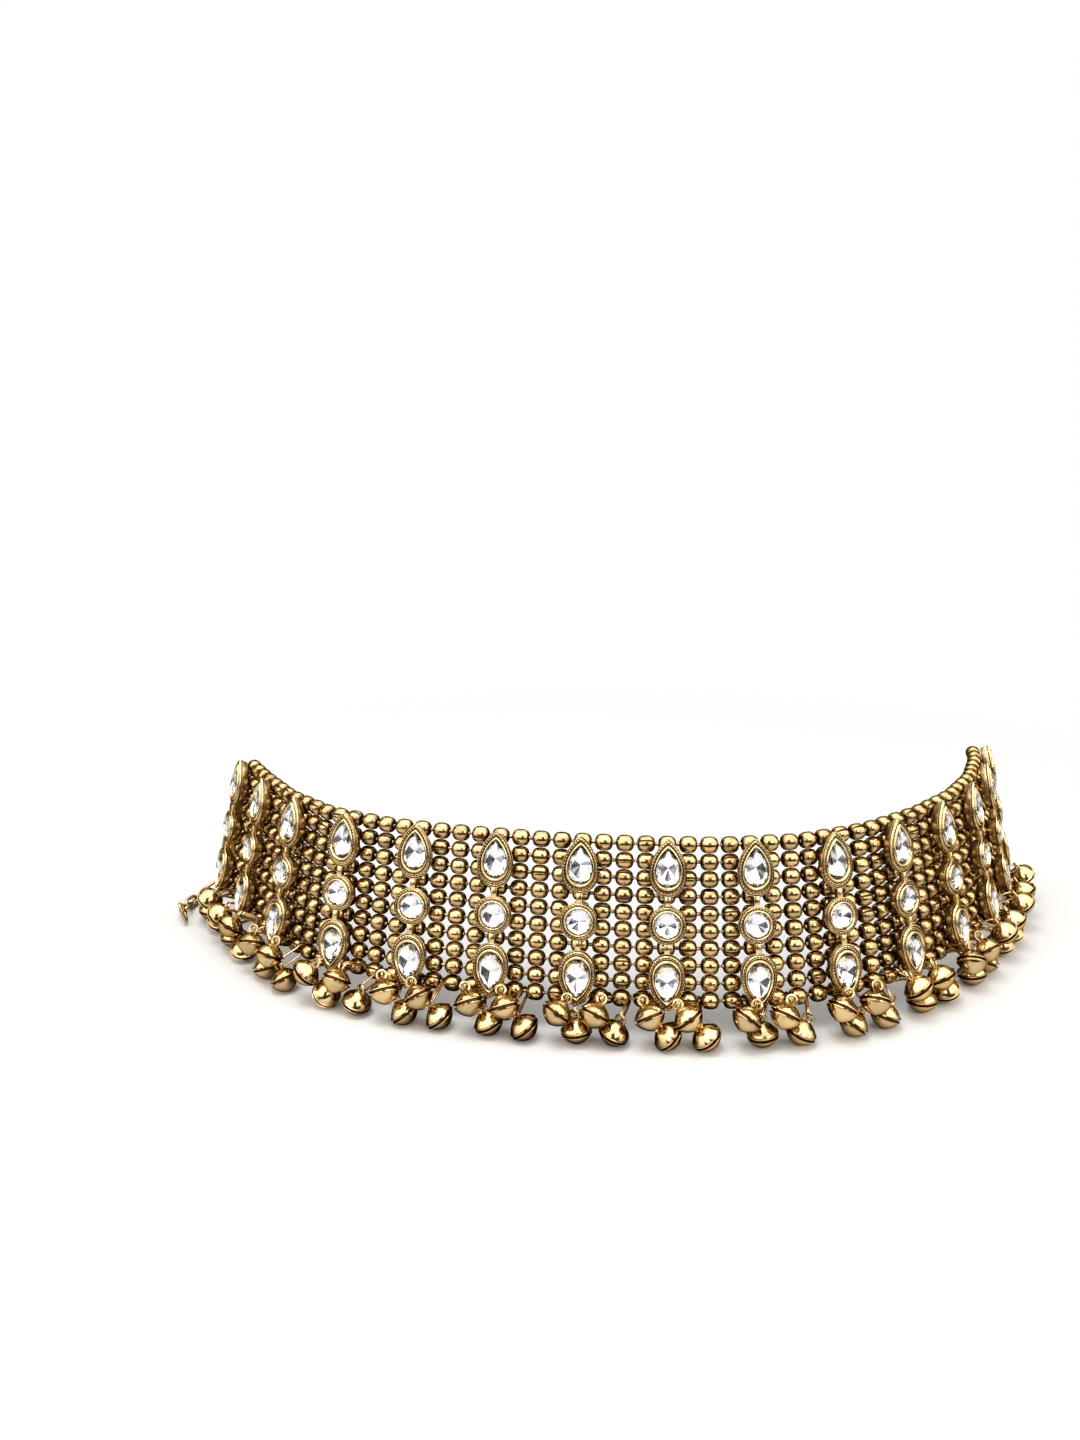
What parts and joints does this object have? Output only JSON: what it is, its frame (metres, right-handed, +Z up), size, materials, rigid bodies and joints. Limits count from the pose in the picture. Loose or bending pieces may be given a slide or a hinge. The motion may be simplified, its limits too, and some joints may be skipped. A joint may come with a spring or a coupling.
{
  "type": "ghungroo anklet",
  "caption": "Wide dance anklet of ball-chain rows with jewelled columns, a fringe of small slit bells, and a chain with a hook, standing open in an arc on its bells.",
  "frame": {"origin": "under the middle of the whole piece, at the floor that the bells stand on", "axes": "+X along the opening of the arc toward the end with the catch ring, +Y in toward the ankle, +Z up"},
  "size_m": [0.2072, 0.0848, 0.0384],
  "materials": {
    "bead_gold": "antique gold plate on the ball chain, darker in the gaps",
    "setting_gold": "antique gold plate on the cups, bright on the granulated rims",
    "bell_gold": "polished gold plate",
    "chain_gold": "satin gold plate on the end plates, chain, hook and catch ring",
    "crystal": "clear foil-backed faceted glass"
  },
  "bodies": {
    "band_unit_01": {"bead_panel_01": "bead_gold", "setting_column_01": "setting_gold", "end_plate_left": "chain_gold"},
    "fringe_01": {"bell_fringe_01": "bell_gold"},
    "band_unit_02": {"bead_panel_02": "bead_gold", "setting_column_02": "setting_gold"},
    "fringe_02": {"bell_fringe_02": "bell_gold"},
    "band_unit_03": {"bead_panel_03": "bead_gold", "setting_column_03": "setting_gold"},
    "fringe_03": {"bell_fringe_03": "bell_gold"},
    "band_unit_04": {"bead_panel_04": "bead_gold", "setting_column_04": "setting_gold"},
    "fringe_04": {"bell_fringe_04": "bell_gold"},
    "band_unit_05": {"bead_panel_05": "bead_gold", "setting_column_05": "setting_gold"},
    "fringe_05": {"bell_fringe_05": "bell_gold"},
    "band_unit_06": {"bead_panel_06": "bead_gold", "setting_column_06": "setting_gold"},
    "fringe_06": {"bell_fringe_06": "bell_gold"},
    "band_unit_07": {"bead_panel_07": "bead_gold", "setting_column_07": "setting_gold"},
    "fringe_07": {"bell_fringe_07": "bell_gold"},
    "band_unit_08": {"bead_panel_08": "bead_gold", "setting_column_08": "setting_gold"},
    "fringe_08": {"bell_fringe_08": "bell_gold"},
    "band_unit_09": {"bead_panel_09": "bead_gold", "setting_column_09": "setting_gold"},
    "fringe_09": {"bell_fringe_09": "bell_gold"},
    "band_unit_10": {"bead_panel_10": "bead_gold", "setting_column_10": "setting_gold"},
    "fringe_10": {"bell_fringe_10": "bell_gold"},
    "band_unit_11": {"bead_panel_11": "bead_gold", "setting_column_11": "setting_gold"},
    "fringe_11": {"bell_fringe_11": "bell_gold"},
    "band_unit_12": {"bead_panel_12": "bead_gold", "setting_column_12": "setting_gold"},
    "fringe_12": {"bell_fringe_12": "bell_gold"},
    "band_unit_13": {"bead_panel_13": "bead_gold", "setting_column_13": "setting_gold"},
    "fringe_13": {"bell_fringe_13": "bell_gold"},
    "band_unit_14": {"bead_panel_14": "bead_gold", "setting_column_14": "setting_gold"},
    "fringe_14": {"bell_fringe_14": "bell_gold"},
    "band_unit_15": {"bead_panel_15": "bead_gold", "setting_column_15": "setting_gold", "end_plate_right": "chain_gold"},
    "fringe_15": {"bell_fringe_15": "bell_gold"},
    "chain_link_01": {"chain_link_01": "chain_gold"},
    "chain_link_02": {"chain_link_02": "chain_gold"},
    "chain_link_03": {"chain_link_03": "chain_gold"},
    "chain_link_04": {"chain_link_04": "chain_gold"},
    "chain_link_05": {"chain_link_05": "chain_gold"},
    "chain_link_06": {"chain_link_06": "chain_gold"},
    "chain_link_07": {"chain_link_07": "chain_gold"},
    "chain_link_08": {"chain_link_08": "chain_gold"},
    "chain_link_09": {"chain_link_09": "chain_gold"},
    "chain_link_10": {"chain_link_10": "chain_gold"},
    "hook": {"hook": "chain_gold"},
    "catch_ring": {"catch_ring": "chain_gold"}
  },
  "joints": [
    {"name": "fold_01_02", "type": "hinge", "parent": "band_unit_02", "child": "band_unit_01", "pos_m": [-0.08245, 0.0192, 0.02165], "axis": [-0.2127, -0.1155, -0.9703], "range_deg": [-3, 18]},
    {"name": "fold_02_03", "type": "hinge", "parent": "band_unit_03", "child": "band_unit_02", "pos_m": [-0.07425, 0.00499, 0.02165], "axis": [-0.1967, -0.1429, -0.97], "range_deg": [-12, 9]},
    {"name": "fold_03_04", "type": "hinge", "parent": "band_unit_04", "child": "band_unit_03", "pos_m": [-0.06327, -0.00719, 0.02165], "axis": [-0.154, -0.1902, -0.9696], "range_deg": [-18, 3]},
    {"name": "fold_04_05", "type": "hinge", "parent": "band_unit_05", "child": "band_unit_04", "pos_m": [-0.04907, -0.01539, 0.02165], "axis": [-0.1008, -0.2211, -0.97], "range_deg": [-11, 10]},
    {"name": "fold_05_06", "type": "hinge", "parent": "band_unit_06", "child": "band_unit_05", "pos_m": [-0.03356, -0.02073, 0.02165], "axis": [-0.0708, -0.2315, -0.9703], "range_deg": [-4, 17]},
    {"name": "fold_06_07", "type": "hinge", "parent": "band_unit_07", "child": "band_unit_06", "pos_m": [-0.01772, -0.02498, 0.02165], "axis": [-0.0545, -0.2359, -0.9703], "range_deg": [-4, 17]},
    {"name": "fold_07_08", "type": "hinge", "parent": "band_unit_08", "child": "band_unit_07", "pos_m": [-0.00162, -0.02811, 0.02165], "axis": [-0.0358, -0.2395, -0.9702], "range_deg": [-5, 16]},
    {"name": "fold_08_09", "type": "hinge", "parent": "band_unit_08", "child": "band_unit_09", "pos_m": [0.01469, -0.02982, 0.02165], "axis": [0.0042, 0.2428, 0.9701], "range_deg": [-10, 11]},
    {"name": "fold_09_10", "type": "hinge", "parent": "band_unit_09", "child": "band_unit_10", "pos_m": [0.03105, -0.02868, 0.02165], "axis": [-0.0508, 0.2388, 0.9697], "range_deg": [-16, 5]},
    {"name": "fold_10_11", "type": "hinge", "parent": "band_unit_10", "child": "band_unit_11", "pos_m": [0.04646, -0.02307, 0.02165], "axis": [-0.1086, 0.2178, 0.9699], "range_deg": [-13, 8]},
    {"name": "fold_11_12", "type": "hinge", "parent": "band_unit_11", "child": "band_unit_12", "pos_m": [0.06021, -0.01414, 0.02165], "axis": [-0.1477, 0.1925, 0.9701], "range_deg": [-9, 12]},
    {"name": "fold_12_13", "type": "hinge", "parent": "band_unit_12", "child": "band_unit_13", "pos_m": [0.0724, -0.00316, 0.02165], "axis": [-0.1776, 0.1656, 0.9701], "range_deg": [-10, 11]},
    {"name": "fold_13_14", "type": "hinge", "parent": "band_unit_13", "child": "band_unit_14", "pos_m": [0.0825, 0.00976, 0.02165], "axis": [-0.2036, 0.1322, 0.9701], "range_deg": [-10, 11]},
    {"name": "fold_14_15", "type": "hinge", "parent": "band_unit_14", "child": "band_unit_15", "pos_m": [0.0902, 0.02424, 0.02165], "axis": [-0.2225, 0.0967, 0.9701], "range_deg": [-9, 12]},
    {"name": "fringe_swing_01", "type": "hinge", "parent": "band_unit_01", "child": "fringe_01", "pos_m": [-0.0903, 0.0267, 0.00724], "axis": [0.454, -0.891, 0], "range_deg": [0, 50]},
    {"name": "fringe_swing_02", "type": "hinge", "parent": "band_unit_02", "child": "fringe_02", "pos_m": [-0.08248, 0.01208, 0.00724], "axis": [0.5, -0.866, 0], "range_deg": [0, 50]},
    {"name": "fringe_swing_03", "type": "hinge", "parent": "band_unit_03", "child": "fringe_03", "pos_m": [-0.0728, -0.00198, 0.00724], "axis": [0.6691, -0.7431, 0], "range_deg": [0, 50]},
    {"name": "fringe_swing_04", "type": "hinge", "parent": "band_unit_04", "child": "fringe_04", "pos_m": [-0.05974, -0.01338, 0.00724], "axis": [0.866, -0.5, 0], "range_deg": [0, 50]},
    {"name": "fringe_swing_05", "type": "hinge", "parent": "band_unit_05", "child": "fringe_05", "pos_m": [-0.04442, -0.02079, 0.00724], "axis": [0.9455, -0.3256, 0], "range_deg": [0, 50]},
    {"name": "fringe_swing_06", "type": "hinge", "parent": "band_unit_06", "child": "fringe_06", "pos_m": [-0.02855, -0.02579, 0.00724], "axis": [0.9659, -0.2588, 0], "range_deg": [0, 50]},
    {"name": "fringe_swing_07", "type": "hinge", "parent": "band_unit_07", "child": "fringe_07", "pos_m": [-0.01237, -0.02968, 0.00724], "axis": [0.9816, -0.1908, 0], "range_deg": [0, 50]},
    {"name": "fringe_swing_08", "type": "hinge", "parent": "band_unit_08", "child": "fringe_08", "pos_m": [0.00412, -0.03232, 0.00724], "axis": [0.9945, -0.1045, 0], "range_deg": [0, 50]},
    {"name": "fringe_swing_09", "type": "hinge", "parent": "band_unit_09", "child": "fringe_09", "pos_m": [0.02107, -0.03298, 0.00724], "axis": [0.9976, 0.0698, 0], "range_deg": [0, 50]},
    {"name": "fringe_swing_10", "type": "hinge", "parent": "band_unit_10", "child": "fringe_10", "pos_m": [0.03806, -0.02995, 0.00724], "axis": [0.9397, 0.342, 0], "range_deg": [0, 50]},
    {"name": "fringe_swing_11", "type": "hinge", "parent": "band_unit_11", "child": "fringe_11", "pos_m": [0.05357, -0.02273, 0.00724], "axis": [0.8387, 0.5446, 0], "range_deg": [0, 50]},
    {"name": "fringe_swing_12", "type": "hinge", "parent": "band_unit_12", "child": "fringe_12", "pos_m": [0.06719, -0.01269, 0.00724], "axis": [0.7431, 0.6691, 0], "range_deg": [0, 50]},
    {"name": "fringe_swing_13", "type": "hinge", "parent": "band_unit_13", "child": "fringe_13", "pos_m": [0.07902, -0.00053, 0.00724], "axis": [0.6157, 0.788, 0], "range_deg": [0, 50]},
    {"name": "fringe_swing_14", "type": "hinge", "parent": "band_unit_14", "child": "fringe_14", "pos_m": [0.08856, 0.01351, 0.00724], "axis": [0.4695, 0.8829, 0], "range_deg": [0, 50]},
    {"name": "fringe_swing_15", "type": "hinge", "parent": "band_unit_15", "child": "fringe_15", "pos_m": [0.0956, 0.02889, 0.00724], "axis": [0.3256, 0.9455, 0], "range_deg": [0, 50]},
    {"name": "chain_swing_01", "type": "hinge", "parent": "band_unit_01", "child": "chain_link_01", "pos_m": [-0.09156, 0.03796, 0.02325], "axis": [0.8645, 0.4405, -0.2419], "range_deg": [-5, 35]},
    {"name": "chain_swing_02", "type": "hinge", "parent": "chain_link_01", "child": "chain_link_02", "pos_m": [-0.0925, 0.03798, 0.01844], "axis": [-0.8804, -0.4413, 0.1735], "range_deg": [-30, 10]},
    {"name": "chain_swing_03", "type": "hinge", "parent": "chain_link_02", "child": "chain_link_03", "pos_m": [-0.09314, 0.03799, 0.0152], "axis": [-0.4331, 0.8973, 0.0849], "range_deg": [-30, 30]},
    {"name": "chain_swing_04", "type": "hinge", "parent": "chain_link_03", "child": "chain_link_04", "pos_m": [-0.09387, 0.03794, 0.01198], "axis": [-0.8767, -0.4411, 0.1916], "range_deg": [-30, 30]},
    {"name": "chain_swing_05", "type": "hinge", "parent": "chain_link_04", "child": "chain_link_05", "pos_m": [-0.0946, 0.03794, 0.00877], "axis": [-0.4317, 0.8974, 0.0909], "range_deg": [-30, 30]},
    {"name": "chain_swing_06", "type": "hinge", "parent": "chain_link_05", "child": "chain_link_06", "pos_m": [-0.09539, 0.03791, 0.00556], "axis": [-0.7434, -0.3711, 0.5565], "range_deg": [-30, 6]},
    {"name": "chain_swing_07", "type": "hinge", "parent": "chain_link_06", "child": "chain_link_07", "pos_m": [-0.09702, 0.03701, 0.00279], "axis": [0.5354, -0.8288, 0.1625], "range_deg": [-30, 20]},
    {"name": "chain_swing_08", "type": "hinge", "parent": "chain_link_07", "child": "chain_link_08", "pos_m": [-0.09963, 0.03501, 0.00161], "axis": [-0.3521, 0.0538, 0.9344], "range_deg": [-30, 6]},
    {"name": "chain_swing_09", "type": "hinge", "parent": "chain_link_08", "child": "chain_link_09", "pos_m": [-0.10135, 0.03208, 0.00126], "axis": [0.8964, -0.2678, 0.3532], "range_deg": [-30, 30]},
    {"name": "chain_swing_10", "type": "hinge", "parent": "chain_link_09", "child": "chain_link_10", "pos_m": [-0.10226, 0.02885, 0.00175], "axis": [-0.316, 0.1005, 0.9434], "range_deg": [-30, 12]},
    {"name": "hook_swing", "type": "hinge", "parent": "chain_link_10", "child": "hook", "pos_m": [-0.10211, 0.02553, 0.00214], "axis": [-0.9488, -0.0353, -0.314], "range_deg": [-45, 45]},
    {"name": "catch_ring_swing", "type": "hinge", "parent": "band_unit_15", "child": "catch_ring", "pos_m": [0.09527, 0.04021, 0.02325], "axis": [-0.9174, 0.3159, -0.2419], "range_deg": [-40, 6]}
  ]
}
